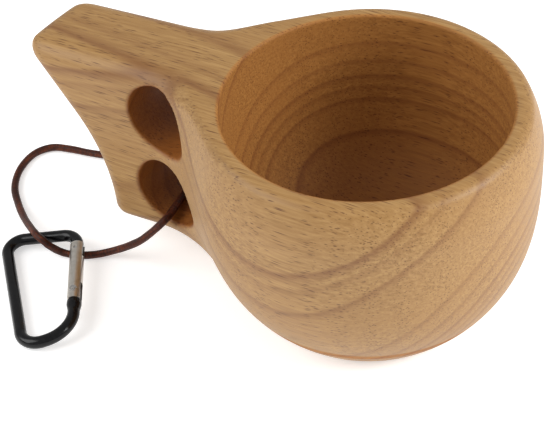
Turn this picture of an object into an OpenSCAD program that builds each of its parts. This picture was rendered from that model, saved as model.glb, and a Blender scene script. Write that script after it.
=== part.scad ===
// Wooden dipper cup with two finger holes, a leather lace and a small snap link.
// The origin is the middle of the bowl's foot, +Z is up and the handle points along -X.

/* [Bowl] */
// Height of the rim above the table
cup_h = 68; // [56:0.5:82]
// Radius of the flat foot
foot_r = 31; // [25:0.5:38]
// Largest outer radius of the bowl
belly_r = 48.2; // [40:0.2:58]
// Height of the largest radius, as a share of the cup's height
belly_share = 0.79; // [0.6:0.01:0.9]
// How far the outer radius draws in from the belly to the rim
rim_draw = 3.9; // [0:0.1:6]
// Width of the flat rim
rim_w = 4.3; // [3:0.1:8]
// Rounding of the rim's outer edge
rim_round = 1.8; // [0.5:0.1:2.5]
// Wood left under the hollow
floor_t = 9; // [6:0.5:14]

/* [Handle] */
// From the bowl's belly to the handle's low corner
handle_out = 31.4; // [24:0.2:44]
// Half thickness of the handle near the bowl
grip_half = 14.8; // [11:0.2:17]
// Half thickness of the handle at its tip
tip_half = 14.4; // [11:0.2:19]
// Height of the handle's underside
under_z = 10.6; // [7:0.2:14]
// Radius of the hollowed end of the handle
end_arc_r = 57; // [50:1:100]
// Lean of the straight upper part of the end, in degrees
end_lean = 35.5; // [20:0.5:38]
// Rounding of the handle's end corners and lower edges
corner_round = 4; // [2:0.5:8]
// Rounding of the handle's top edges
top_round = 6; // [3:0.5:8]
// Distance over which the handle flares into the bowl
flare = 21; // [16:1:28]
// How much thinner the handle is, on each side, for each mm further up
draft = 0.018; // [0:0.002:0.04]
// How fast the handle's top falls towards its tip
droop = 0.05; // [0:0.01:0.1]

/* [Finger holes] */
// Radius of both finger holes
finger_r = 11.1; // [8:0.1:13]
// From the bowl's belly to the middle of the upper hole
finger_out = 9.5; // [6:0.1:14]
// How much nearer to the bowl the lower hole is
finger_step = 0.7; // [0:0.1:2]
// Wood under the lower hole
lip_t = 4.9; // [4:0.1:12]
// Wood between the two holes
bridge_t = 3.9; // [3:0.1:7]

/* [Lace] */
// Diameter of the leather lace
lace_d = 2.3; // [1.8:0.1:2.6]
// Diameter of the knot that joins the lace's ends
knot_d = 8.4; // [7:0.2:10]

/* [Snap link] */
// Diameter of the link's rod
rod_d = 3.6; // [3:0.1:4]
// Diameter of the gate
gate_d = 4.4; // [4:0.1:4.8]
// Length of the link's spine, from corner to corner
spine_l = 46.6; // [42:0.2:56]
// Width across the nose, between rod centres
nose_w = 22.1; // [20:0.1:26]
// Slope of the top bar, in degrees
bar_slope = 18; // [10:1:22]
// Lean of the gate towards the spine, in degrees
gate_lean = 10.4; // [6:0.2:12]
// From the nose corner to the gate's upper end
nose_l = 4.8; // [4:0.1:6]
// Length of the gate
gate_l = 23.2; // [20:0.1:28]
// From the hinge rivet to the gate's lower end
heel_l = 3.5; // [3:0.1:4.4]
// Thickness of the flat tongues inside the gate
tongue_t = 1.4; // [1:0.1:1.7]
// Play between a tongue and its slot, on each side
slot_play = 0.3; // [0.2:0.05:0.4]
// Diameter of the hinge rivet
rivet_d = 1.6; // [1.2:0.1:1.9]
// Radial play of the rivet in the tongue
rivet_play = 0.05; // [0.02:0.01:0.1]
// Diameter of the latch pin
latch_d = 1.2; // [0.9:0.1:1.4]
// Diameter of the blind bore for the spring
bore_d = 2.6; // [2.2:0.1:3]
// Wire of the gate spring
wire_d = 0.35; // [0.25:0.05:0.45]

/* [Hidden] */
$fn = 48;

wood = [0.74, 0.56, 0.35];
leather = [0.27, 0.13, 0.08];
black = [0.05, 0.05, 0.06];
silver = [0.72, 0.70, 0.67];
steel = [0.60, 0.60, 0.62];

belly_z = belly_share * cup_h;
rim_r = belly_r - rim_draw;
mouth_r = rim_r - rim_w;
handle_low = belly_r + handle_out;
arc_z = under_z + 1.4;                 // where the hollowed end starts to lean
lean_x = handle_low + end_arc_r * (1 - cos(end_lean));
lean_z = arc_z + end_arc_r * sin(end_lean);
grip_x = belly_r - 2;                  // where the handle's thickness is grip_half
low_hole = [finger_step - belly_r - finger_out, under_z + lip_t + finger_r];
top_hole = [-belly_r - finger_out, low_hole.y + 2 * finger_r + bridge_t];

// ---- Cup ----

// Smaller of two distances, with a soft blend over k
function soft_min(a, b, k) =
    let (h = max(0, min(1, 0.5 + 0.5 * (b - a) / k))) b + (a - b) * h - k * h * (1 - h);

// Larger of two distances, with the edge between them rounded to radius r
function round_max(a, b, r) = min(max(a, b), -r) + norm([max(a + r, 0), max(b + r, 0)]);

// Outer radius of the bowl at height z, and how fast it changes
function bowl_r(z) = z < belly_z
    ? belly_r - (belly_r - foot_r) * pow(1 - z / belly_z, 3.3)
    : belly_r - rim_draw * pow((z - belly_z) / (cup_h - belly_z), 2);
function bowl_rate(z) = (bowl_r(min(z + 0.05, cup_h)) - bowl_r(max(z - 0.05, 0))) / 0.1;
function bowl_gap(x, y, z) = (norm([x, y]) - bowl_r(z)) / norm([1, bowl_rate(z)]);

// Distance outside the handle: its two sides, its leaning end with a slight crown, its underside
function half_t(x) = grip_half
    + (tip_half - grip_half) * max(0, min(1.3, (-x - grip_x) / (handle_low + 20 - grip_x)));
function end_gap(x, z) = let (dx = -x - lean_x, dz = z - lean_z)
    dx * sin(end_lean) + dz * cos(end_lean) > 0
    ? dx * cos(end_lean) - dz * sin(end_lean)
    : end_arc_r - norm([handle_low + end_arc_r + x, max(z - arc_z, 0)]);
function handle_gap(x, y, z) = max(x + 10, round_max(
    round_max(abs(y) - half_t(x) + draft * (z - 40), end_gap(x - y * y / 250, z), corner_round),
    under_z - z, corner_round));

// The top edges are rounded: little at the rim, more along the handle
function top_r(x) = let (t = max(0, min(1, (-x - belly_r + 8) / 16)))
    rim_round + (top_round - rim_round) * t * t * (3 - 2 * t);
function edge_cut(x, z) = let (r = top_r(x), u = max(0, z - cup_h + r)) r - sqrt(r * r - u * u);
function skin(x, y, z) = soft_min(bowl_gap(x, y, z), handle_gap(x, y, z), flare)
    + edge_cut(x, z) + max(0, 1 - z) * 0.8;

// The surface on the ray at angle a from the handle, found by halving
function reach(a, z, near, far, n) = n == 0 ? (near + far) / 2
    : let (mid = (near + far) / 2)
      skin(-mid * cos(a), mid * sin(a), z) > 0
      ? reach(a, z, near, mid, n - 1) : reach(a, z, mid, far, n - 1);
function sag(x) = let (t = max(0, -x - belly_r + 4)) droop * t * t / (t + 10);

half_turn = [0, 2.5, 4.5, 5.5, 6.5, 7.4, 8.2, 9, 10, 11, 12, 13.5, 15, 17, 19.5, 22, 25, 28.5,
             32.5, 37, 43, 50, 58, 67, 77, 88, 100, 112, 124, 136, 148, 159, 170, 180];
half_n = len(half_turn) - 1;
turn = concat(half_turn, [for (i = [half_n - 1 : -1 : 1]) -half_turn[i]]);
levels = concat(
    [for (t = [0, 0.1, 0.25, 0.45, 0.65, 0.8, 0.9, 0.96, 0.99]) under_z * t],
    [for (a = [8, 20, 32, 45, 58, 72, 90]) under_z + corner_round * (1 - cos(a))],
    let (low = under_z + corner_round, high = cup_h - top_round)
        [for (i = [1 : 9]) low + (high - low) * i / 10],
    [for (a = [0, 18, 33, 47, 60, 75, 90]) cup_h - top_round * (1 - sin(a))]);

function ring(z) = [for (a = turn)
    let (r = reach(a, z, 5, handle_low + 60, 15), x = -r * cos(a))
    [x, r * sin(a), z - sag(x) * min(1, z / under_z)]];

module cup_blank() {
    n = len(turn);
    top = (len(levels) - 1) * n;
    polyhedron(
        points = [for (z = levels) each ring(z)],
        faces = concat(
            [[for (j = [0 : n - 1]) j]],
            [for (i = [0 : len(levels) - 2], j = [0 : n - 1])
                let (a = i * n + j, b = i * n + (j + 1) % n) each [[a, a + n, b], [b, a + n, b + n]]],
            [[top, top + n - 1, top + 1]],
            [for (j = [1 : half_n - 2]) each [
                [top + j, top + n - j, top + j + 1],
                [top + j + 1, top + n - j, top + n - j - 1]]],
            [[top + half_n - 1, top + half_n + 1, top + half_n]]));
}

// The turned hollow: a rounded bottom that runs up into straight walls
hollow_z = cup_h - 17.5;
module hollow() {
    rotate_extrude($fn = 96)
        polygon(concat(
            [[0, cup_h + 5], [0, floor_t]],
            [for (a = [10 : 10 : 90]) [
                mouth_r * pow(sin(a), 2 / 3),
                hollow_z - (hollow_z - floor_t) * pow(cos(a), 2 / 3)]],
            [[mouth_r, cup_h + 5]]));
}

module finger_hole(at) {
    translate([at.x, 0, at.y]) rotate([90, 0, 0])
        cylinder(h = 4 * belly_r, r = finger_r, center = true, $fn = 96);
}

module cup() {
    color(wood) difference() {
        cup_blank();
        hollow();
        finger_hole(low_hole);
        finger_hole(top_hole);
    }
}

// ---- Lace ----

// Middle of the knot, behind the handle
knot_at = [-69.3, 20.2, 4.3];
// Route of the lace, from the knot through the lower hole, round the link and back
route = [
    [-68.3, 18.6, 6.6], [-66.6, 17.8, 9.4], [-64.6, 17.5, 12.2], [-62.7, 18.4, 15.6],
    [-61.0, 16.3, 18.0], [-59.9, 10.7, 17.4], [-59.4, 3.8, 17.3], [-59.1, -3.8, 17.3],
    [-58.5, -10.9, 17.3], [-57.9, -15.9, 17.6], [-58.8, -19.1, 16.6], [-61.0, -20.9, 14.1],
    [-64.4, -21.8, 10.4], [-67.8, -22.0, 7.4], [-71.4, -22.1, 4.6], [-75.0, -22.8, 2.5],
    [-78.4, -24.5, 1.4], [-81.4, -26.4, 1.2], [-84.7, -28.0, 1.2], [-87.0, -28.6, 1.2],
    [-89.0, -29.1, 1.5], [-90.5, -29.9, 2.6], [-91.4, -30.9, 4.2], [-92.3, -31.7, 5.7],
    [-93.7, -31.9, 7.1], [-95.7, -31.4, 7.5], [-97.7, -30.2, 7.2], [-101.6, -27.3, 5.6],
    [-107.5, -22.5, 3.2], [-113.8, -16.8, 1.5], [-119.8, -10.3, 1.2], [-123.3, -2.5, 1.2],
    [-123.7, 5.9, 1.2], [-120.2, 11.3, 1.2], [-114.4, 13.2, 1.2], [-107.5, 14.3, 1.2],
    [-99.2, 16.1, 1.2], [-89.2, 18.2, 1.2], [-79.5, 19.8, 1.4], [-72.2, 20.2, 2.8]];

// Tube swept along a list of points, with flat ends
module swept(path, d, sides) {
    n = len(path);
    rings = [for (i = [0 : n - 1])
        let (t = path[min(i + 1, n - 1)] - path[max(i - 1, 0)],
             s = cross([0, 0, 1], t) / norm(cross([0, 0, 1], t)),
             u = cross(t, s) / norm(t))
        for (k = [0 : sides - 1])
            path[i] + d / 2 * (s * cos(360 * k / sides) + u * sin(360 * k / sides))];
    polyhedron(points = rings, faces = concat(
        [[for (k = [0 : sides - 1]) k]],
        [[for (k = [sides - 1 : -1 : 0]) (n - 1) * sides + k]],
        [for (i = [0 : n - 2], k = [0 : sides - 1])
            let (a = i * sides + k, b = i * sides + (k + 1) % sides)
            each [[a, b + sides, b], [a, a + sides, b + sides]]]));
}

module lace() {
    color(leather) swept(route, lace_d, 8);
}

// The space that the knot fills, with its two short tails on the table
module lace_knot() {
    flat = 0.31 * knot_d;
    tail_z = lace_d / 2 + 0.05;
    color(leather) {
        translate(knot_at) rotate([0, 0, 40]) rotate([0, 90, 0])
            rotate_extrude()
                polygon([[0, -knot_d / 2], [flat, -knot_d / 2], [knot_d / 2, -flat / 1.4],
                         [knot_d / 2, flat / 1.4], [flat, knot_d / 2], [0, knot_d / 2]]);
        for (a = [5, 72])
            translate([knot_at.x, knot_at.y, 0]) rotate([0, 0, a])
                swept([[0, 0, knot_at.z], [knot_d / 2 + 0.5, 0, knot_at.z - 0.6],
                       [knot_d / 2 + 3, 0, tail_z + 0.4], [knot_d / 2 + 7, 0, tail_z]], lace_d, 8);
    }
}

// ---- Snap link ----
// Its own frame: x runs down the spine from the top corner, y goes across to the gate.

link_at = [-107.4, -32.8, rod_d / 2 + 0.05];
link_turn = -49;
link_tilt = 10;
module in_link() {
    translate(link_at) rotate([0, 0, link_turn]) rotate([link_tilt, 0, 0]) children();
}

nose = [nose_w * tan(bar_slope), nose_w];
foot = [spine_l, nose_w - (spine_l - nose.x) * tan(gate_lean)];
hinge_s = nose_l + gate_l - heel_l;    // from the nose corner to the rivet, along the gate
latch_s = nose_l + 2.6;                // from the nose corner to the latch pin
gate_dir = (foot - nose) / norm(foot - nose);
hinge = nose + hinge_s * gate_dir;
slot_t = tongue_t + 2 * slot_play;

// Puts things on the gate's axis: x runs from the nose corner down to the heel
module on_gate() {
    translate([nose.x, nose.y, 0]) rotate([0, 0, -gate_lean]) children();
}

// A round rod along straight lines, with each inner corner bent to its radius.
// The bends are a hair thicker and the straights reach into them, so that they join solidly.
module bent_rod(points, radii, d) {
    last = len(points) - 1;
    into = 0.2;
    function dir(i) = (points[i + 1] - points[i]) / norm(points[i + 1] - points[i]);
    function bend(i) = acos(dir(i - 1) * dir(i));
    function inset(i) = i == 0 || i == last ? 0 : radii[i] * tan(bend(i) / 2);
    for (i = [0 : last - 1]) {
        from = points[i] + (inset(i) - (i > 0 ? into : 0)) * dir(i);
        to = points[i + 1] - (inset(i + 1) - (i < last - 1 ? into : 0)) * dir(i);
        translate([from.x, from.y, 0]) rotate([0, 0, atan2(dir(i).y, dir(i).x)])
            rotate([0, 90, 0]) cylinder(h = norm(to - from), d = d);
    }
    for (i = [1 : last - 1]) {
        side = sign(cross(dir(i - 1), dir(i)));
        start = points[i] - inset(i) * dir(i - 1);
        middle = start + side * radii[i] * [-dir(i - 1).y, dir(i - 1).x];
        first = atan2(start.y - middle.y, start.x - middle.x) - (side > 0 ? 0 : bend(i));
        translate([middle.x, middle.y, 0]) rotate([0, 0, first])
            rotate_extrude(angle = bend(i), $fn = 72)
                translate([radii[i], 0]) circle(d = d + 0.02, $fn = 32);
    }
}

// Flat faces that turn a length of rod on the gate's axis into a tongue
module tongue_flats(from, to) {
    for (s = [-1, 1])
        translate([from, -gate_d, s > 0 ? tongue_t / 2 : -gate_d - tongue_t / 2])
            cube([to - from, 2 * gate_d, gate_d]);
}

collar_s = hinge_s + heel_l + 0.4;     // the shoulder that the gate's heel stands clear of
tongue_r = rod_d / 2 + 0.1;            // round end of the hinge tongue
module link_body() {
    nose_end = latch_s + 1.7;
    color(black) in_link() difference() {
        union() {
            bent_rod([nose + nose_end * gate_dir, nose, [0, 0], [spine_l, 0], foot,
                      hinge - (tongue_r + 0.2) * gate_dir],
                     [0, 5.2, 4.5, 6, 9.5, 0], rod_d);
            on_gate() translate([collar_s, 0, 0]) rotate([0, 90, 0]) {
                cylinder(h = 1.2, d = gate_d);
                translate([0, 0, 1.2]) cylinder(h = 2.4, d1 = gate_d, d2 = rod_d - 0.1);
            }
        }
        on_gate() {
            tongue_flats(nose_l - slot_play, nose_end + 1);
            translate([nose_l - slot_play, -gate_d, -gate_d])
                cube([nose_end, gate_d - 1.1, 2 * gate_d]);
            translate([latch_s, 0, 0]) {
                cylinder(h = gate_d, d = latch_d + 0.2, center = true);
                translate([-latch_d / 2 - 0.1, -gate_d, -gate_d])
                    cube([latch_d + 0.2, gate_d, 2 * gate_d]);
            }
            tongue_flats(hinge_s - 2 * rod_d, collar_s);
            translate([hinge_s, 0, 0]) {
                cylinder(h = gate_d, d = rivet_d + 2 * rivet_play, center = true);
                difference() {
                    translate([-rod_d, -rod_d, -rod_d]) cube([rod_d, 2 * rod_d, 2 * rod_d]);
                    cylinder(h = 4 * rod_d, r = tongue_r, center = true);
                }
            }
        }
    }
}

bore_end = nose_l + 7.7;               // blind end of the spring's bore, from the nose corner
module gate_tube() {
    color(silver) in_link() on_gate() difference() {
        translate([nose_l, 0, 0]) rotate([0, 90, 0]) cylinder(h = gate_l, d = gate_d);
        translate([bore_end, 0, 0]) rotate([0, 90, 0]) cylinder(h = gate_l, d = bore_d);
        translate([nose_l - 1, -1.5, -slot_t / 2]) cube([6.5, 2 * gate_d, slot_t]);
        translate([hinge_s - 3, -gate_d, -slot_t / 2]) cube([gate_l, 2 * gate_d, slot_t]);
        translate([hinge_s, 0, 0]) {
            cylinder(h = 2 * gate_d, d = rivet_d, center = true);
            difference() {
                translate([0, -gate_d, -gate_d]) cube(2 * gate_d);
                cylinder(h = 5 * gate_d, r = heel_l + 0.2, center = true);
            }
        }
        translate([latch_s, 0, 0]) cylinder(h = 2 * gate_d, d = latch_d, center = true);
    }
}

// Rivet with two low heads that are set into the gate's round sides
module gate_rivet() {
    head_r = 0.6 * gate_d / 2;
    head_z = sqrt(pow(gate_d / 2, 2) - pow(head_r, 2)) - 0.05;
    color(steel) in_link() on_gate() translate([hinge_s, 0, 0]) {
        cylinder(h = 2 * head_z + 0.2, d = rivet_d, center = true);
        for (s = [0, 180])
            rotate([s, 0, 0]) translate([0, 0, head_z])
                cylinder(h = gate_d / 2 + 0.15 - head_z, r1 = head_r, r2 = head_r - 0.3);
    }
}

module latch_pin() {
    color(steel) in_link() on_gate() translate([latch_s, 0, 0])
        cylinder(h = gate_d - 0.3, d = latch_d, center = true);
}

plunger_s = hinge_s - rod_d / 2 - 0.3; // tip of the plunger, from the nose corner
plunger_l = 3;
module spring_plunger() {
    color(steel) in_link() on_gate() translate([plunger_s, 0, 0]) rotate([0, -90, 0]) {
        cylinder(h = 0.6, d1 = bore_d - 1.1, d2 = bore_d - 0.3);
        translate([0, 0, 0.6]) cylinder(h = plunger_l - 0.6, d = bore_d - 0.3);
    }
}

// Coil spring between the plunger and the blind end of the bore
module gate_spring() {
    from = bore_end + wire_d / 2 + 0.05;
    to = plunger_s - plunger_l - wire_d / 2 - 0.05;
    coil_r = (bore_d - wire_d) / 2 - 0.12;
    turns = 7;
    steps = 12;
    color(steel) in_link() on_gate()
        swept([for (i = [0 : turns * steps])
            [from + (to - from) * i / (turns * steps),
             coil_r * cos(360 * i / steps), coil_r * sin(360 * i / steps)]], wire_d, 6);
}

cup();
lace();
lace_knot();
link_body();
gate_tube();
gate_rivet();
latch_pin();
gate_spring();
spring_plunger();
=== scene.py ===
import bpy
import numpy as np
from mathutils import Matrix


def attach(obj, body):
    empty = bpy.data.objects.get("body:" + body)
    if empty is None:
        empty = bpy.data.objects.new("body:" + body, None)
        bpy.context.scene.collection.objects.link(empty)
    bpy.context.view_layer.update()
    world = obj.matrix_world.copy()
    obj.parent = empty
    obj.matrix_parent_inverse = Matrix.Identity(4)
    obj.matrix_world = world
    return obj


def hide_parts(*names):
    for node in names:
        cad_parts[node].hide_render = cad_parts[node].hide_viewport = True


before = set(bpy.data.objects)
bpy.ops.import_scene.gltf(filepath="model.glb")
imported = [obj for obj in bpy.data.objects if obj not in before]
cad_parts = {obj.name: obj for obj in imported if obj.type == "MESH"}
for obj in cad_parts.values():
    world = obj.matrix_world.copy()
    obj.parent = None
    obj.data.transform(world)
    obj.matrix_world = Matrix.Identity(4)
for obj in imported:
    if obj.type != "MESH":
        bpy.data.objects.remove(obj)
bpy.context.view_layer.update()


# ---- Camera ----
# A 120 mm lens half a metre away looks down on the cup from the front and the right, turned a
# little on its own axis. The numbers are where it aims, in metres, and its angles in degrees.
aim = np.array([-0.02005, -0.01821, 0.0325])
turn, tilt, roll = np.radians([31.415, 41.816, -3.961])
away = 0.5168
back = np.array([np.sin(turn) * np.cos(tilt), -np.cos(turn) * np.cos(tilt), np.sin(tilt)])
right = np.array([np.cos(turn), np.sin(turn), 0])
up = np.cross(back, right)
right, up = right * np.cos(roll) + up * np.sin(roll), up * np.cos(roll) - right * np.sin(roll)
pose = np.eye(4)
pose[:3, :4] = np.stack([right, up, back, aim + away * back], axis=1)

lens = bpy.data.cameras.new("camera")
lens.lens = 120.87
lens.sensor_width = 36
lens.clip_start = 0.01
camera = bpy.data.objects.new("camera", lens)
camera.matrix_world = pose.T.tolist()
bpy.context.scene.collection.objects.link(camera)
bpy.context.scene.camera = camera


# ---- Lace ----
# A round leather lace, cut from one hide and waxed dark brown. It comes from its knot behind the
# handle, goes through the lower finger hole, round the snap link and back over the table.
lace_d = 0.0023
route = 0.001 * np.array([
    (-68.3, 18.6, 6.6), (-66.6, 17.8, 9.4), (-64.6, 17.5, 12.2), (-62.7, 18.4, 15.6),
    (-61.0, 16.3, 18.0), (-59.9, 10.7, 17.4), (-59.4, 3.8, 17.3), (-59.1, -3.8, 17.3),
    (-58.5, -10.9, 17.3), (-57.9, -15.9, 17.6), (-58.8, -19.1, 16.6), (-61.0, -20.9, 14.1),
    (-64.4, -21.8, 10.4), (-67.8, -22.0, 7.4), (-71.4, -22.1, 4.6), (-75.0, -22.8, 2.5),
    (-78.4, -24.5, 1.4), (-81.4, -26.4, 1.2), (-84.7, -28.0, 1.2), (-87.0, -28.6, 1.2),
    (-89.0, -29.1, 1.5), (-90.5, -29.9, 2.6), (-91.4, -30.9, 4.2), (-92.3, -31.7, 5.7),
    (-93.7, -31.9, 7.1), (-95.7, -31.4, 7.5), (-97.7, -30.2, 7.2), (-101.6, -27.3, 5.6),
    (-107.5, -22.5, 3.2), (-113.8, -16.8, 1.5), (-119.8, -10.3, 1.2), (-123.3, -2.5, 1.2),
    (-123.7, 5.9, 1.2), (-120.2, 11.3, 1.2), (-114.4, 13.2, 1.2), (-107.5, 14.3, 1.2),
    (-99.2, 16.1, 1.2), (-89.2, 18.2, 1.2), (-79.5, 19.8, 1.4), (-72.2, 20.2, 2.8)])


def smooth_line(points, steps):
    """Catmull-Rom line: between p1 and p2 each point is half of
    2 p1 + (p2 - p0) t + (2 p0 - 5 p1 + 4 p2 - p3) t^2 + (3 p1 - p0 - 3 p2 + p3) t^3."""
    p = np.vstack([2 * points[0] - points[1], points, 2 * points[-1] - points[-2]])
    p0, p1, p2, p3 = (p[i:len(p) - 3 + i, None] for i in range(4))
    t = (np.arange(steps) / steps)[None, :, None]
    line = 0.5 * (2 * p1 + (p2 - p0) * t + (2 * p0 - 5 * p1 + 4 * p2 - p3) * t ** 2
                  + (3 * p1 - p0 - 3 * p2 + p3) * t ** 3)
    return np.vstack([line.reshape(-1, 3), points[-1:]])


def new_piece(name, points, faces, uv=None):
    """Makes one smooth mesh object from arrays of points and faces, with one uv pair a corner."""
    mesh = bpy.data.meshes.new(name)
    mesh.from_pydata(points.tolist(), [], faces if isinstance(faces, list) else faces.tolist())
    if uv is not None:
        mesh.uv_layers.new(name="along").data.foreach_set("uv", np.asarray(uv, float).ravel())
    mesh.shade_smooth()
    piece = bpy.data.objects.new(name, mesh)
    bpy.context.scene.collection.objects.link(piece)
    return piece


def tube(name, line, radius, around, side_from):
    """A round profile carried along a line: each ring is line + radius (cos v S + sin v U), where
    S is side_from x tangent and U is tangent x S. Each end closes with a quarter round.
    Its uv map is the length along it and the way round it, both in millimetres."""
    radius = np.broadcast_to(radius, len(line)).astype(float)
    t = np.gradient(line, axis=0)
    t /= np.linalg.norm(t, axis=1)[:, None]
    k = np.sin(np.radians([90, 72, 52, 30, 12]))[:, None]
    shrink = np.sqrt(1 - k[:, 0] ** 2) + 0.02
    line = np.vstack([line[0] - t[0] * radius[0] * k, line, line[-1] + t[-1] * radius[-1] * k[::-1]])
    t = np.vstack([np.repeat(t[:1], 5, 0), t, np.repeat(t[-1:], 5, 0)])
    radius = np.concatenate([radius[0] * shrink, radius, radius[-1] * shrink[::-1]])
    side = np.cross(side_from, t)
    side /= np.linalg.norm(side, axis=1)[:, None]
    over = np.cross(t, side)
    v = (np.arange(around) * 2 * np.pi / around)[None, :, None]
    rings = line[:, None] + radius[:, None, None] * (np.cos(v) * side[:, None] + np.sin(v) * over[:, None])
    i, j = np.meshgrid(np.arange(len(line) - 1), np.arange(around), indexing="ij")
    a, b = i * around + j, i * around + (j + 1) % around
    faces = np.stack([a, b, b + around, a + around], axis=-1).reshape(-1, 4)
    far = 1000 * np.concatenate([[0], np.cumsum(np.linalg.norm(np.diff(line, axis=0), axis=1))])
    wide = 2000 * np.pi * radius.max() / around
    u = np.stack([far[i], far[i], far[i + 1], far[i + 1]], axis=-1).reshape(-1)
    w = wide * np.stack([j, j + 1, j + 1, j], axis=-1).reshape(-1)
    last = (len(line) - 1) * around
    caps = [list(range(around))[::-1], list(range(last, last + around))]
    uv = np.vstack([np.stack([u, w], axis=1), np.full((around, 2), [0.0, 0.0]),
                    np.full((around, 2), [far[-1], 0.0])])
    return new_piece(name, rings.reshape(-1, 3), faces.tolist() + caps, uv)


def add(tree, kind, inputs={}, **settings):
    """Adds one node, with its settings, and gives each named socket a value or a link."""
    made = tree.nodes.new(kind)
    for name, value in settings.items():
        setattr(made, name, value)
    for name, value in inputs.items():
        if isinstance(value, bpy.types.NodeSocket):
            tree.links.new(value, made.inputs[name])
        else:
            made.inputs[name].default_value = value
    return made


def linear(code):
    """An sRGB hex value as linear red, green, blue and alpha."""
    c = np.array([int(code[i:i + 2], 16) for i in (1, 3, 5)]) / 255
    c = np.where(c <= 0.04045, c / 12.92, ((c + 0.055) / 1.055) ** 2.4)
    return (*c.tolist(), 1.0)


def new_material(name):
    """A material with its node tree emptied, its shader and its output."""
    made = bpy.data.materials.new(name)
    made.use_nodes = True
    tree = made.node_tree
    tree.nodes.clear()
    shader = add(tree, "ShaderNodeBsdfPrincipled")
    add(tree, "ShaderNodeOutputMaterial", {"Surface": shader.outputs["BSDF"]})
    return made, tree, shader


# Vegetable-tanned leather, dyed through and waxed: a dark red brown with worn lighter ridges, fine
# creases across the lace every millimetre or so, and a soft sheen. Leather's IOR is about 1.5.
leather, tree, shader = new_material("waxed_leather")
spot = add(tree, "ShaderNodeUVMap", uv_map="along")
stretched = add(tree, "ShaderNodeVectorMath", {0: spot.outputs[0], 1: (1.3, 0.45, 1)}, operation="MULTIPLY")
crease = add(tree, "ShaderNodeTexNoise", {"Vector": stretched.outputs[0], "Scale": 1.0, "Detail": 3.0,
                                          "Roughness": 0.6, "Distortion": 0.4})
along = add(tree, "ShaderNodeVectorMath", {0: spot.outputs[0], 1: (0.12, 1.1, 1)}, operation="MULTIPLY")
streak = add(tree, "ShaderNodeTexNoise", {"Vector": along.outputs[0], "Scale": 1.0, "Detail": 2.0})
place = add(tree, "ShaderNodeTexCoord")
pebble = add(tree, "ShaderNodeTexVoronoi", {"Vector": place.outputs["Object"], "Scale": 2600.0})
tone = add(tree, "ShaderNodeMath", {0: crease.outputs["Fac"], 1: streak.outputs["Fac"]}, operation="ADD")
colour = add(tree, "ShaderNodeValToRGB", {"Fac": add(
    tree, "ShaderNodeMapRange", {"Value": tone.outputs[0], "From Min": 0.7, "From Max": 1.35}).outputs[0]})
for stop, code in zip(colour.color_ramp.elements, ("#200e07", "#6e3518")):
    stop.color = linear(code)
colour.color_ramp.elements.new(0.5).color = linear("#421b0c")
height = add(tree, "ShaderNodeMath", {0: pebble.outputs["Distance"], 1: 0.25, 2: crease.outputs["Fac"]},
             operation="MULTIPLY_ADD")
bump = add(tree, "ShaderNodeBump", {"Height": height.outputs[0], "Strength": 0.8, "Distance": 0.00025})
rough = add(tree, "ShaderNodeMapRange", {"Value": crease.outputs["Fac"], "From Min": 0.3, "From Max": 0.7,
                                         "To Min": 0.42, "To Max": 0.62})
for name, socket in (("Base Color", colour.outputs[0]), ("Roughness", rough.outputs[0]),
                     ("Normal", bump.outputs[0])):
    tree.links.new(socket, shader.inputs[name])
shader.inputs["IOR"].default_value = 1.5
shader.inputs["Specular IOR Level"].default_value = 0.25

lace_line = smooth_line(route, 8)
far = np.linspace(0, 1, len(lace_line))
thick = lace_d / 2 * (1 + 0.02 * np.sin(61 * far) + 0.015 * np.sin(173 * far + 1))
lace = tube("lace_round", lace_line, thick, 20, (0, 0, 1))
lace.data.materials.append(leather)
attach(lace, "cup")
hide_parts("lace")


# ---- Knot ----
# The lace's two ends cross in a barrel knot: one end is wrapped three times round both and pulled
# tight, so the turns lie against each other. Two short cut tails lie on the table.
knot_at = np.array([-0.0693, 0.0202, 0.0043])
knot_axis = np.array([np.cos(np.radians(40)), np.sin(np.radians(40)), 0])
knot_side = np.array([-knot_axis[1], knot_axis[0], 0])
a = np.linspace(0, 1, 150)
turns = 3.1
way = 2 * np.pi * turns * a + 0.6
out = 0.0029 - 0.0016 * (np.clip(1 - a / 0.1, 0, 1) ** 2 + np.clip(1 - (1 - a) / 0.1, 0, 1) ** 2)
wraps = (knot_at + (a[:, None] - 0.5) * 0.0062 * knot_axis
         + out[:, None] * (np.cos(way)[:, None] * knot_side + np.sin(way)[:, None] * np.array([0, 0, 1])))
tail_points = ((2.2, -0.6), (4.7, -0.9), (7.2, -2.4), (9.3, -2.95), (11.2, -3.1))
tails = [knot_at + 0.001 * np.array([[r * np.cos(np.radians(d)), r * np.sin(np.radians(d)), z]
                                     for r, z in tail_points]) for d in (5, 72)]
strand_a = smooth_line(np.vstack([route[0], knot_at + (0.0004, -0.0008, 0.0008), tails[0]]), 8)
strand_b = smooth_line(np.vstack([route[-1], knot_at + (-0.0010, 0.0001, -0.0006), tails[1]]), 8)
knot = tube("knot_wraps", wraps, lace_d / 2, 20, knot_axis)
tail_a = tube("knot_tail_near", strand_a, lace_d / 2, 20, (0, 0, 1))
tail_b = tube("knot_tail_far", strand_b, lace_d / 2, 20, (0, 0, 1))
for piece in (knot, tail_a, tail_b):
    piece.data.materials.append(leather)
    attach(piece, "cup")
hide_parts("lace_knot")


# ---- Cup ----
# Bowl and handle are carved from one block of light hardwood, turned hollow inside, with two holes
# bored across the handle for the fingers. Every edge is sanded round and the whole cup is oiled.
# The finger holes' centres and radius, in mm.
low_hole_at, top_hole_at, hole_r = (-57, 0, 26.6), (-57.7, 0, 52.7), 11.1


def round_max(a, b, r):
    """The larger of two distances, its edge rounded: min(max(a, b), -r) + |(a + r, b + r)| where > 0."""
    return np.minimum(np.maximum(a, b), -r) + np.hypot(np.maximum(a + r, 0), np.maximum(b + r, 0))


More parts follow.
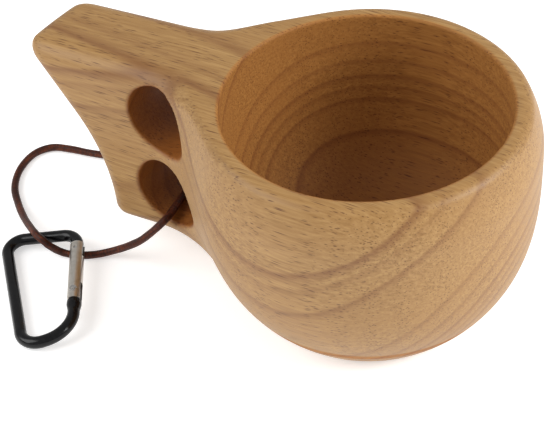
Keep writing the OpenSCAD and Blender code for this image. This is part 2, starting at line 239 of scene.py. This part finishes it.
def cup_distance(x, y, z):
    """Distance outside the cup's wood, in mm, about 1 per mm near the skin. The bowl's radius is
    48.2 - 17.2 (1 - z / 53.72)^3.3 below the belly and 48.2 - 3.9 ((z - 53.72) / 14.28)^2 above it.
    The handle is |y| against a half thickness, with a hollowed, leaning end of radius 57, bowed by
    y^2 / 250 and skewed by 0.14 y. The two blend over 21 mm. The hollow is
    1 - ((r / 40)^3 + u^3)^(1/3), u the depth under z 50.5 over 41.5. Edges are rounded 6 mm at the
    handle's end, 4 mm under it, 1.2 mm at the foot, 0.8 mm at the holes and 0.6 mm inside the rim."""
    belly, foot, belly_z, rim, tall = 48.2, 31.0, 53.72, 44.3, 68.0
    end_x, end_z, end_r, blend, mouth = 79.6, 12, 57, 21, 40
    sag = np.maximum(-x - 44.2, 0)
    zs = z + 0.05 * sag * sag / (sag + 10)
    r = np.hypot(x, y)
    under = np.clip(1 - zs / belly_z, 0, 1)
    above = np.clip((zs - belly_z) / (tall - belly_z), 0, 1.5)
    wide = belly - (belly - foot) * under ** 3.3 - (belly - rim) * above ** 2
    rate = 3.3 * (belly - foot) / belly_z * under ** 2.3 - 2 * (belly - rim) / (tall - belly_z) * above
    bowl = (r - wide) / np.sqrt(1 + rate * rate)
    side = np.abs(y) - (14.8 - 0.4 * np.clip((-x - 46.2) / 53.4, 0, 1.3)) - 0.018 * (40 - zs)
    lean = np.radians(35.5)
    lean_x, lean_z = end_x + end_r * (1 - np.cos(lean)), end_z + end_r * np.sin(lean)
    xc = x - y * y / 250 - 0.14 * y - 0.86
    dx, dz = -xc - lean_x, zs - lean_z
    end = np.where(dx * np.sin(lean) + dz * np.cos(lean) > 0, dx * np.cos(lean) - dz * np.sin(lean),
                   end_r - np.hypot(end_x + end_r + xc, np.maximum(zs - end_z, 0)))
    grip = np.maximum(round_max(round_max(side, end, 6.0), 10.6 - zs, 4.0), x + 10)
    mix = np.clip(0.5 + 0.5 * (grip - bowl) / blend, 0, 1)
    body = grip + (bowl - grip) * mix - blend * mix * (1 - mix)
    t = np.clip((-x - 40.2) / 16, 0, 1)
    body = round_max(body, zs - tall, 1.8 + 4.2 * t * t * (3 - 2 * t))
    body = round_max(body, -z, 1.2)
    depth = np.maximum(50.5 - z, 0) / 41.5
    hollow = mouth * (1 - ((r / mouth) ** 3 + depth ** 3) ** (1 / 3))
    holes = np.maximum(*(hole_r - np.hypot(x - at[0], z - at[2]) for at in (low_hole_at, top_hole_at)))
    return round_max(round_max(body, hollow, 0.6), holes, 0.8)


def skin_of(distance, low, high, step):
    """The surface where distance is 0, by surface nets: one point in each grid cell that the surface
    crosses, at the mean of its crossings of the cell's edges, one four-sided face round each crossed
    grid edge, and then three Newton steps p - d g / |g|^2 that put the points on the surface."""
    axes = [np.arange(a, b + step, step) for a, b in zip(low, high)]
    f = distance(*np.meshgrid(*axes, indexing="ij"))
    n = f.shape
    inside = f < 0
    corners = sum(inside[i:n[0] - 1 + i, j:n[1] - 1 + j, k:n[2] - 1 + k].astype(np.int8)
                  for i in (0, 1) for j in (0, 1) for k in (0, 1))
    cells = np.argwhere((corners > 0) & (corners < 8))
    number = np.full(corners.shape, -1)
    number[tuple(cells.T)] = np.arange(len(cells))
    total, count, faces = np.zeros((len(cells), 3)), np.zeros(len(cells)), []
    for axis in range(3):
        one, two = [i for i in range(3) if i != axis]
        for u in (0, 1):
            for v in (0, 1):
                near = np.zeros(3, int)
                near[one], near[two] = u, v
                far = near + np.eye(3, dtype=int)[axis]
                fa, fb = f[tuple((cells + near).T)], f[tuple((cells + far).T)]
                crossed = (fa < 0) != (fb < 0)
                spot = np.tile(near.astype(float), (len(cells), 1))
                spot[:, axis] = np.where(crossed, fa / np.where(crossed, fa - fb, 1), 0)
                total += spot * crossed[:, None]
                count += crossed
        first = [slice(None)] * 3
        second = [slice(None)] * 3
        first[axis], second[axis] = slice(0, n[axis] - 1), slice(1, n[axis])
        start = inside[tuple(first)]
        edges = np.argwhere(start != inside[tuple(second)])
        quad = []
        for u, v in ((1, 1), (0, 1), (0, 0), (1, 0)):
            cell = edges.copy()
            cell[:, one] -= u
            cell[:, two] -= v
            quad.append(number[tuple(cell.T)])
        quad = np.stack(quad, axis=1)
        turned = ~start[tuple(edges.T)] if axis != 1 else start[tuple(edges.T)]
        quad[turned] = quad[turned][:, ::-1]
        faces.append(quad)
    points = (cells + total / count[:, None]) * step + np.array(low)
    for _ in range(3):
        d = distance(*points.T)
        g = np.stack([distance(*(points + h).T) - distance(*(points - h).T)
                      for h in 0.05 * np.eye(3)], axis=1) / 0.1
        points -= np.clip(d / np.maximum((g * g).sum(1), 0.3), -0.3, 0.3)[:, None] * g
    return points, np.concatenate(faces)


grid_step = 0.8
points, faces = skin_of(cup_distance, (-105.6, -49.6, -1.2), (49.6, 49.6, 69.2), grid_step)
cup = new_piece("carved_cup", 0.001 * points, faces)

# Rubberwood, carved, sanded and oiled. It is light golden tan, with wide growth rings round a pith
# under and behind the cup, thin brown late-wood lines, and open pores that show as brown dashes about
# 3 mm long by 0.3 mm where the cut runs along the grain, and as dots on end grain. Oil, IOR 1.47,
# leaves it half matt. The hollow and the finger holes are coloured darker: partly oil soaked in, partly
# painted shade of these recesses.
wood, tree, shader = new_material("oiled_rubberwood")
place = add(tree, "ShaderNodeTexCoord")
mm = add(tree, "ShaderNodeVectorMath", {0: place.outputs["Object"], 1: (1000, 1000, 1000)},
         operation="MULTIPLY")
drawn_out = add(tree, "ShaderNodeVectorMath", {0: mm.outputs[0], 1: (0.012, 0.05, 0.05)},
                operation="MULTIPLY")
broad = add(tree, "ShaderNodeTexNoise", {"Vector": drawn_out.outputs[0], "Scale": 1.0, "Detail": 2.0})
across = add(tree, "ShaderNodeVectorMath", {0: mm.outputs[0], 1: (0.197, 1, 0)}, operation="DOT_PRODUCT")
upward = add(tree, "ShaderNodeVectorMath", {0: mm.outputs[0], 1: (-0.022, 0, 1)}, operation="DOT_PRODUCT")
beside_pith = add(tree, "ShaderNodeMath", {0: across.outputs["Value"], 1: 34.0}, operation="SUBTRACT")
over_pith = add(tree, "ShaderNodeMath", {0: upward.outputs["Value"], 1: 17.1}, operation="ADD")
pith_offset = add(tree, "ShaderNodeCombineXYZ", {0: beside_pith.outputs[0], 1: over_pith.outputs[0]})
from_pith = add(tree, "ShaderNodeVectorMath", {0: pith_offset.outputs[0]}, operation="LENGTH")
wavy = add(tree, "ShaderNodeMath", {0: broad.outputs["Fac"], 1: 0.8, 2: from_pith.outputs["Value"]},
           operation="MULTIPLY_ADD")
year = add(tree, "ShaderNodeMapRange", {"Value": wavy.outputs[0], "From Min": 40.4, "From Max": 110.4})
rings = add(tree, "ShaderNodeValToRGB", {"Fac": year.outputs[0]})
# Each late-wood line's distance from the pith, in mm, and how dark it is.
late_wood = ((45.3, 1.0), (55.8, 0.8), (59.9, 0.6), (64.0, 0.8), (69.6, 0.6), (76.0, 0.6), (93.8, 0.75),
             (99.6, 0.45), (103.0, 1.0))
stops = rings.color_ramp.elements
stops[0].color, stops[1].color = (0.35, 0.35, 0.35, 1), (0.1, 0.1, 0.1, 1)
for radius, dark in late_wood:
    for shift, share in ((-1.9, 0.2 if radius > 46 else 0.35), (0.0, 1.0), (0.8, 0.04)):
        level = dark * share
        stops.new((radius + shift - 40) / 70).color = (level, level, level, 1)
fibre = add(tree, "ShaderNodeTexNoise", {"Vector": add(
    tree, "ShaderNodeVectorMath", {0: mm.outputs[0], 1: (0.05, 1.3, 1.3)}, operation="MULTIPLY").outputs[0],
    "Scale": 1.0, "Detail": 5.0, "Roughness": 0.65})
pores = add(tree, "ShaderNodeTexVoronoi", {"Vector": add(
    tree, "ShaderNodeVectorMath", {0: mm.outputs[0], 1: (0.13, 2.0, 2.0)}, operation="MULTIPLY").outputs[0],
    "Scale": 1.0})
pore_size = add(tree, "ShaderNodeMapRange", {"Value": add(
    tree, "ShaderNodeSeparateColor", {0: pores.outputs["Color"]}).outputs[0], "To Min": 0.14, "To Max": 0.42})
pore = add(tree, "ShaderNodeMapRange", {"Value": pores.outputs["Distance"], "From Min": pore_size.outputs[0],
                                        "From Max": 0.1, "To Min": 0.0, "To Max": 1.0})
ground = add(tree, "ShaderNodeValToRGB", {"Fac": fibre.outputs["Fac"]})
for stop, where, code in zip(ground.color_ramp.elements, (0.34, 0.66), ("#7d592c", "#b4905c")):
    stop.position, stop.color = where, linear(code)
mottle = add(tree, "ShaderNodeMix", {0: broad.outputs["Fac"], 6: ground.outputs[0], 7: linear("#9d7645")},
             data_type="RGBA")
ring_amount = add(tree, "ShaderNodeMath", {0: rings.outputs[0], 1: 0.62}, operation="MULTIPLY")
ringed = add(tree, "ShaderNodeMix", {0: ring_amount.outputs[0], 6: mottle.outputs[2], 7: linear("#68391a")},
             data_type="RGBA")
pore_amount = add(tree, "ShaderNodeMath", {0: pore.outputs[0], 1: 0.85}, operation="MULTIPLY")
pored = add(tree, "ShaderNodeMix", {0: pore_amount.outputs[0], 6: ringed.outputs[2], 7: linear("#4a200a")},
            data_type="RGBA")
flat = add(tree, "ShaderNodeVectorMath", {0: mm.outputs[0], 1: (1, 1, 0)}, operation="MULTIPLY")
axis = add(tree, "ShaderNodeVectorMath", {0: flat.outputs[0]}, operation="LENGTH")
# Inside the bowl, from about 8 mm up, the colour is multiplied by #ffe2b4: painted shade of the hollow,
# partly oil soaked into it. The same mask also makes the hollow a little rougher.
hollowed = add(tree, "ShaderNodeMapRange", {
    "Value": axis.outputs["Value"], "From Min": 41.0, "From Max": 40.3, "To Min": 0.0, "To Max": 1.0})
above_foot = add(tree, "ShaderNodeSeparateXYZ", {0: mm.outputs[0]})
high = add(tree, "ShaderNodeMapRange", {"Value": above_foot.outputs[2], "From Min": 8.0, "From Max": 8.8})
hollow_oil_and_shade = add(tree, "ShaderNodeMath", {0: hollowed.outputs[0], 1: high.outputs[0]}, operation="MULTIPLY")
hollow_shaded = add(tree, "ShaderNodeMix", {0: hollow_oil_and_shade.outputs[0], 6: pored.outputs[2], 7: linear("#ffe2b4")},
            data_type="RGBA", blend_type="MULTIPLY")
# Near the finger holes' axes the colour is multiplied by #e2b68a: painted shade inside the holes, partly
# their end grain soaking up more oil.
endways = add(tree, "ShaderNodeVectorMath", {0: mm.outputs[0], 1: (1, 0, 1)}, operation="MULTIPLY")
low_hole = add(tree, "ShaderNodeVectorMath", {0: endways.outputs[0], 1: low_hole_at}, operation="DISTANCE")
top_hole = add(tree, "ShaderNodeVectorMath", {0: endways.outputs[0], 1: top_hole_at}, operation="DISTANCE")
bored = add(tree, "ShaderNodeMapRange", {"Value": add(tree, "ShaderNodeMath", {
    0: low_hole.outputs["Value"], 1: top_hole.outputs["Value"]}, operation="MINIMUM").outputs[0],
    "From Min": 12.0, "From Max": 11.1})
holes_shaded = add(tree, "ShaderNodeMix", {0: bored.outputs[0], 6: hollow_shaded.outputs[2], 7: linear("#e2b68a")},
            data_type="RGBA", blend_type="MULTIPLY")
height = add(tree, "ShaderNodeMath", {0: pore.outputs[0], 1: -0.3, 2: fibre.outputs["Fac"]},
             operation="MULTIPLY_ADD")
bump = add(tree, "ShaderNodeBump", {"Height": height.outputs[0], "Strength": 0.35, "Distance": 0.0002})
grain = add(tree, "ShaderNodeMapRange", {"Value": fibre.outputs["Fac"], "From Min": 0.3, "From Max": 0.7,
                                         "To Min": 0.4, "To Max": 0.52})
rough = add(tree, "ShaderNodeMath", {0: hollow_oil_and_shade.outputs[0], 1: 0.25, 2: grain.outputs[0]},
            operation="MULTIPLY_ADD")
for name, socket in (("Base Color", holes_shaded.outputs[2]), ("Roughness", rough.outputs[0]),
                     ("Normal", bump.outputs[0])):
    tree.links.new(socket, shader.inputs[name])
shader.inputs["IOR"].default_value = 1.47
shader.inputs["Specular IOR Level"].default_value = 0.4
cup.data.materials.append(wood)
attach(cup, "cup")
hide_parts("cup")


# ---- Snap link body ----
# One aluminium rod of 3.6 mm, bent to the link's shape, flattened at both ends for the gate, then
# tumbled and anodised black. It hangs on the lace's bight by its top bar.
# Black anodising is a hard glossy skin of oxide: almost no colour, and clear reflections.
black, tree, shader = new_material("black_anodised_aluminium")
place = add(tree, "ShaderNodeTexCoord")
grime = add(tree, "ShaderNodeTexNoise", {"Vector": place.outputs["Object"], "Scale": 900.0, "Detail": 4.0})
shade = add(tree, "ShaderNodeValToRGB", {"Fac": grime.outputs["Fac"]})
for stop, where, code in zip(shade.color_ramp.elements, (0.35, 0.75), ("#050506", "#101012")):
    stop.position, stop.color = where, linear(code)
rough = add(tree, "ShaderNodeMapRange", {"Value": grime.outputs["Fac"], "From Min": 0.3, "From Max": 0.7,
                                         "To Min": 0.14, "To Max": 0.26})
bump = add(tree, "ShaderNodeBump", {"Height": grime.outputs["Fac"], "Strength": 0.15, "Distance": 0.00005})
for name, socket in (("Base Color", shade.outputs[0]), ("Roughness", rough.outputs[0]),
                     ("Normal", bump.outputs[0])):
    tree.links.new(socket, shader.inputs[name])
shader.inputs["IOR"].default_value = 1.6
shader.inputs["Specular IOR Level"].default_value = 0.2


def refinish(name, material):
    """Gives a node of the frame another material on all its faces."""
    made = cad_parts[name]
    made.data.materials.clear()
    made.data.materials.append(material)


refinish("link_body", black)


# ---- Gate ----
# A turned aluminium tube of 4.4 mm, slotted at both ends and drilled for its spring, anodised in its
# own silver. The oxide keeps a satin, slightly warm sheen and fine turning marks round the tube.
silver, tree, shader = new_material("silver_anodised_aluminium")
place = add(tree, "ShaderNodeTexCoord")
turned = add(tree, "ShaderNodeTexNoise", {"Vector": place.outputs["Object"], "Scale": 700.0, "Detail": 2.0})
shade = add(tree, "ShaderNodeValToRGB", {"Fac": turned.outputs["Fac"]})
for stop, where, code in zip(shade.color_ramp.elements, (0.3, 0.7), ("#bdb7ad", "#cbc5bd")):
    stop.position, stop.color = where, linear(code)
rough = add(tree, "ShaderNodeMapRange", {"Value": turned.outputs["Fac"], "From Min": 0.3, "From Max": 0.7,
                                         "To Min": 0.28, "To Max": 0.33})
bump = add(tree, "ShaderNodeBump", {"Height": turned.outputs["Fac"], "Strength": 0.05, "Distance": 0.00005})
for name, socket in (("Base Color", shade.outputs[0]), ("Roughness", rough.outputs[0]),
                     ("Normal", bump.outputs[0])):
    tree.links.new(socket, shader.inputs[name])
shader.inputs["Metallic"].default_value = 1.0
refinish("gate_tube", silver)


# ---- Gate rivet, latch pin, spring and plunger ----
# Stainless steel wire and turned pins, bright from drawing. The rivet holds the gate's heel, the pin
# hooks the nose, and the spring pushes the plunger against the hinge inside the tube.
steel, tree, shader = new_material("stainless_steel")
place = add(tree, "ShaderNodeTexCoord")
drawn = add(tree, "ShaderNodeTexNoise", {"Vector": place.outputs["Object"], "Scale": 1800.0, "Detail": 3.0})
shade = add(tree, "ShaderNodeValToRGB", {"Fac": drawn.outputs["Fac"]})
for stop, where, code in zip(shade.color_ramp.elements, (0.3, 0.7), ("#8f8c88", "#c9c6c2")):
    stop.position, stop.color = where, linear(code)
rough = add(tree, "ShaderNodeMapRange", {"Value": drawn.outputs["Fac"], "From Min": 0.3, "From Max": 0.7,
                                         "To Min": 0.22, "To Max": 0.4})
for name, socket in (("Base Color", shade.outputs[0]), ("Roughness", rough.outputs[0])):
    tree.links.new(socket, shader.inputs[name])
shader.inputs["Metallic"].default_value = 1.0
for name in ("gate_rivet", "latch_pin", "gate_spring", "spring_plunger"):
    refinish(name, steel)


# ---- Table and light ----
# A plain table of matt white card that glows a little, which keeps the shadows on it faint, with
# two soft lamps and a pale room.
floor = new_piece("table", np.array([[-3.0, -3, 0], [3, -3, 0], [3, 3, 0], [-3, 3, 0]]),
                  np.array([[0, 1, 2, 3]]))
white, tree, shader = new_material("white_card")
shader.inputs["Base Color"].default_value = linear("#f4f4f4")
shader.inputs["Roughness"].default_value = 0.8
shader.inputs["Emission Color"].default_value = (1, 1, 1, 1)
shader.inputs["Emission Strength"].default_value = 0.45
floor.data.materials.append(white)

room = bpy.data.worlds.new("room")
room.use_nodes = True
room.node_tree.nodes["Background"].inputs["Color"].default_value = (1, 1, 1, 1)
room.node_tree.nodes["Background"].inputs["Strength"].default_value = 0.55
bpy.context.scene.world = room


def soft_lamp(name, towards, wide, watts):
    """A square lamp 0.9 m from the cup in the given direction, turned to face it."""
    z = np.array(towards) / np.linalg.norm(towards)
    x = np.cross((0, 0, 1), z)
    x /= np.linalg.norm(x)
    light = bpy.data.lights.new(name, "AREA")
    light.size = wide
    light.energy = watts
    lamp = bpy.data.objects.new(name, light)
    placed = np.eye(4)
    placed[:3, :4] = np.stack([x, np.cross(z, x), z, 0.9 * z], axis=1)
    lamp.matrix_world = placed.T.tolist()
    bpy.context.scene.collection.objects.link(lamp)


soft_lamp("left_lamp", (-0.62, -0.52, 0.6), 0.6, 4.5)
soft_lamp("right_lamp", (0.85, 0.2, 0.6), 0.4, 7.0)
bpy.context.scene.view_settings.view_transform = "Standard"
